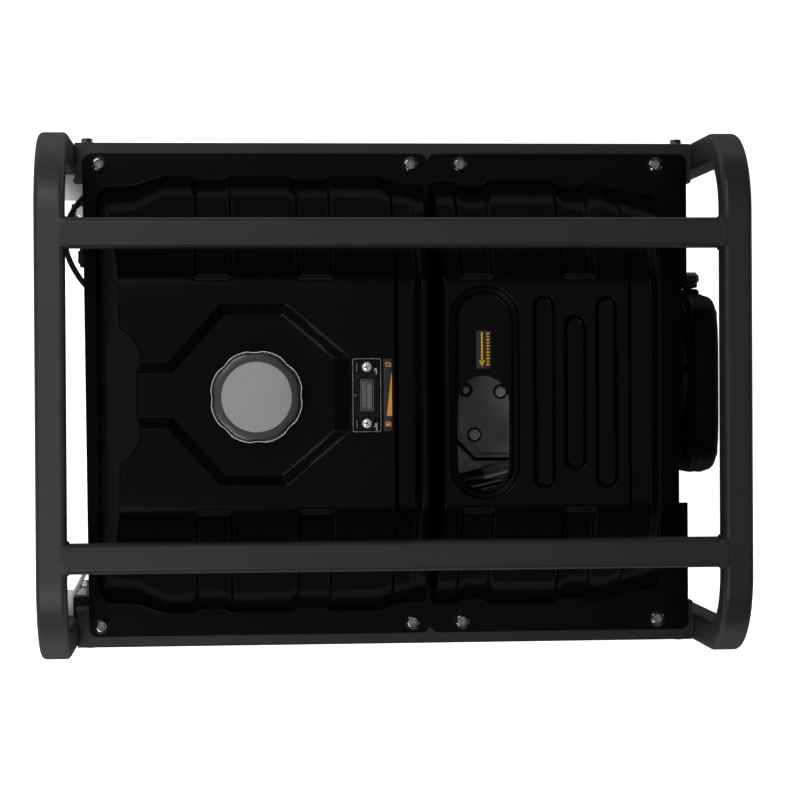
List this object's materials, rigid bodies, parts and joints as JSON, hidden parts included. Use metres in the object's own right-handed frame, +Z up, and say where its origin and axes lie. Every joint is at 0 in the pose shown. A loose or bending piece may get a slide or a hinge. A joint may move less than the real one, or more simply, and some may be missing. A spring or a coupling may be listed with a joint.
{
  "type": "portable generator",
  "caption": "Open-frame diesel generator: square-tube hoop frame, black pressed fuel tank with cap and gauge, ribbed engine cover with access slot, engine and alternator below.",
  "frame": {"origin": "centre of the machine's outline on the floor, under its middle", "axes": "+X from the alternator end to the recoil starter end, +Y towards the rear long side, +Z up"},
  "size_m": [0.713, 0.514, 0.65],
  "materials": {
    "frame_paint": "black powder coat, fine texture",
    "tank_paint": "black powder coat, satin",
    "zinc": "zinc plated",
    "rubber_black": "matt",
    "mesh_steel": "woven wire and rim",
    "cap_metal": "dark satin metal",
    "gauge_plastic": "gloss black",
    "gauge_glass": "clear",
    "indicator_white": "matt with a red band",
    "tap_alloy": "die cast",
    "red_plastic": "matt red",
    "alloy_cast": "rough sand cast",
    "iron_black": "black stove paint",
    "engine_black": "semi-gloss black",
    "steel_parts": "machined",
    "iron_grey": "cast and machined",
    "stator_paint": "black, laminated core",
    "plastic_black": "moulded",
    "panel_grey": "black powder coat",
    "socket_blue": "moulded"
  },
  "bodies": {
    "chassis": {"end_hoop_left": "frame_paint", "end_hoop_right": "frame_paint", "top_bar_front": "frame_paint", "top_bar_rear": "frame_paint", "side_rail_front": "frame_paint", "side_rail_rear": "frame_paint", "base_rail_front": "frame_paint", "base_rail_rear": "frame_paint", "cross_members": "frame_paint", "tank_upper_shell": "tank_paint", "tank_lower_shell": "tank_paint", "top_cover": "tank_paint", "rail_bolts": "zinc", "panel_bolts": "zinc", "rocker_cover_bolts": "zinc", "filler_neck": "zinc", "gauge_screws": "zinc", "earth_stud": "zinc", "injector_pipe": "zinc", "rubber_feet": "rubber_black", "isolators": "rubber_black", "fuel_hose": "rubber_black", "breather_hose": "rubber_black", "alternator_cable": "rubber_black", "strainer": "mesh_steel", "gauge_body": "gauge_plastic", "gauge_lens": "gauge_glass", "fuel_tap": "tap_alloy", "injector": "tap_alloy", "crankcase": "alloy_cast", "cylinder_head": "alloy_cast", "adapter_flange": "alloy_cast", "injection_pump": "alloy_cast", "alternator_end_cover": "alloy_cast", "cylinder": "iron_black", "rocker_cover": "engine_black", "blower_housing": "engine_black", "recoil_cover": "engine_black", "muffler": "engine_black", "air_cleaner": "engine_black", "stator": "stator_paint", "breaker_body": "plastic_black", "sockets": "plastic_black", "control_box": "panel_grey"},
    "crank": {"crankshaft": "steel_parts", "flywheel_fan": "iron_grey", "rotor": "iron_grey"},
    "recoil_pulley": {"recoil_pulley": "plastic_black"},
    "recoil_handle": {"recoil_handle": "plastic_black"},
    "cap_inner": {"cap_seal": "rubber_black"},
    "cap": {"fuel_cap": "cap_metal"},
    "float": {"float_arm": "gauge_plastic"},
    "indicator": {"gauge_indicator": "indicator_white"},
    "tap_lever": {"fuel_tap_lever": "red_plastic"},
    "decomp_lever": {"decompression_lever": "tap_alloy"},
    "speed_lever": {"speed_lever": "steel_parts"},
    "dipstick": {"dipstick": "plastic_black"},
    "breaker_lever": {"breaker_lever": "plastic_black"},
    "flap_a": {"socket_flap_a": "socket_blue"},
    "flap_b": {"socket_flap_b": "socket_blue"}
  },
  "joints": [
    {"name": "crank_spin", "type": "hinge", "parent": "chassis", "child": "crank", "pos_m": [0.0895, 0.017, 0.24], "axis": [1, 0, 0], "continuous": true},
    {"name": "recoil_pull", "type": "slide", "parent": "chassis", "child": "recoil_handle", "axis": [0, 1, 0], "range_m": [0, 0.35], "stiffness_N_per_m": 30},
    {"name": "recoil_pulley_spin", "type": "hinge", "parent": "chassis", "child": "recoil_pulley", "pos_m": [0.3375, 0.017, 0.24], "axis": [-1, 0, 0], "range_deg": [0, 440]},
    {"name": "cap_lift", "type": "slide", "parent": "chassis", "child": "cap_inner", "axis": [0, 0, 1], "range_m": [0, 0.06]},
    {"name": "cap_turn", "type": "hinge", "parent": "cap_inner", "child": "cap", "pos_m": [-0.1505, -0.002, 0.615], "axis": [0, 0, 1], "range_deg": [0, 90]},
    {"name": "float_swing", "type": "hinge", "parent": "chassis", "child": "float", "pos_m": [-0.045, -0.001, 0.57], "axis": [1, 0, 0], "range_deg": [0, 50]},
    {"name": "indicator_turn", "type": "hinge", "parent": "chassis", "child": "indicator", "pos_m": [-0.045, -0.001, 0.59], "axis": [1, 0, 0], "range_deg": [0, 90]},
    {"name": "fuel_tap_turn", "type": "hinge", "parent": "chassis", "child": "tap_lever", "pos_m": [-0.0585, -0.122, 0.415], "axis": [0, 1, 0], "range_deg": [0, 90]},
    {"name": "decompression_turn", "type": "hinge", "parent": "chassis", "child": "decomp_lever", "pos_m": [0.0855, 0.038, 0.455], "axis": [0, 0, 1], "range_deg": [0, 25], "stiffness_Nm_per_rad": 0.2},
    {"name": "speed_lever_turn", "type": "hinge", "parent": "chassis", "child": "speed_lever", "pos_m": [0.1775, -0.067, 0.305], "axis": [0, 0, 1], "range_deg": [-20, 20]},
    {"name": "dipstick_lift", "type": "slide", "parent": "chassis", "child": "dipstick", "axis": [0, 0, 1], "range_m": [0, 0.08]},
    {"name": "breaker_turn", "type": "hinge", "parent": "chassis", "child": "breaker_lever", "pos_m": [-0.1105, -0.228, 0.352], "axis": [1, 0, 0], "range_deg": [-22, 22]},
    {"name": "flap_a_open", "type": "hinge", "parent": "chassis", "child": "flap_a", "pos_m": [-0.2535, -0.238, 0.379], "axis": [-1, 0, 0], "range_deg": [0, 100], "stiffness_Nm_per_rad": 0.012},
    {"name": "flap_b_open", "type": "hinge", "parent": "chassis", "child": "flap_b", "pos_m": [-0.1785, -0.238, 0.379], "axis": [-1, 0, 0], "range_deg": [0, 100], "stiffness_Nm_per_rad": 0.012}
  ],
  "couplings": [
    {"joint": "recoil_pulley_spin", "follows": "recoil_pull", "rad_per_m": 21.74},
    {"joint": "indicator_turn", "follows": "float_swing", "ratio": 1.8}
  ]
}
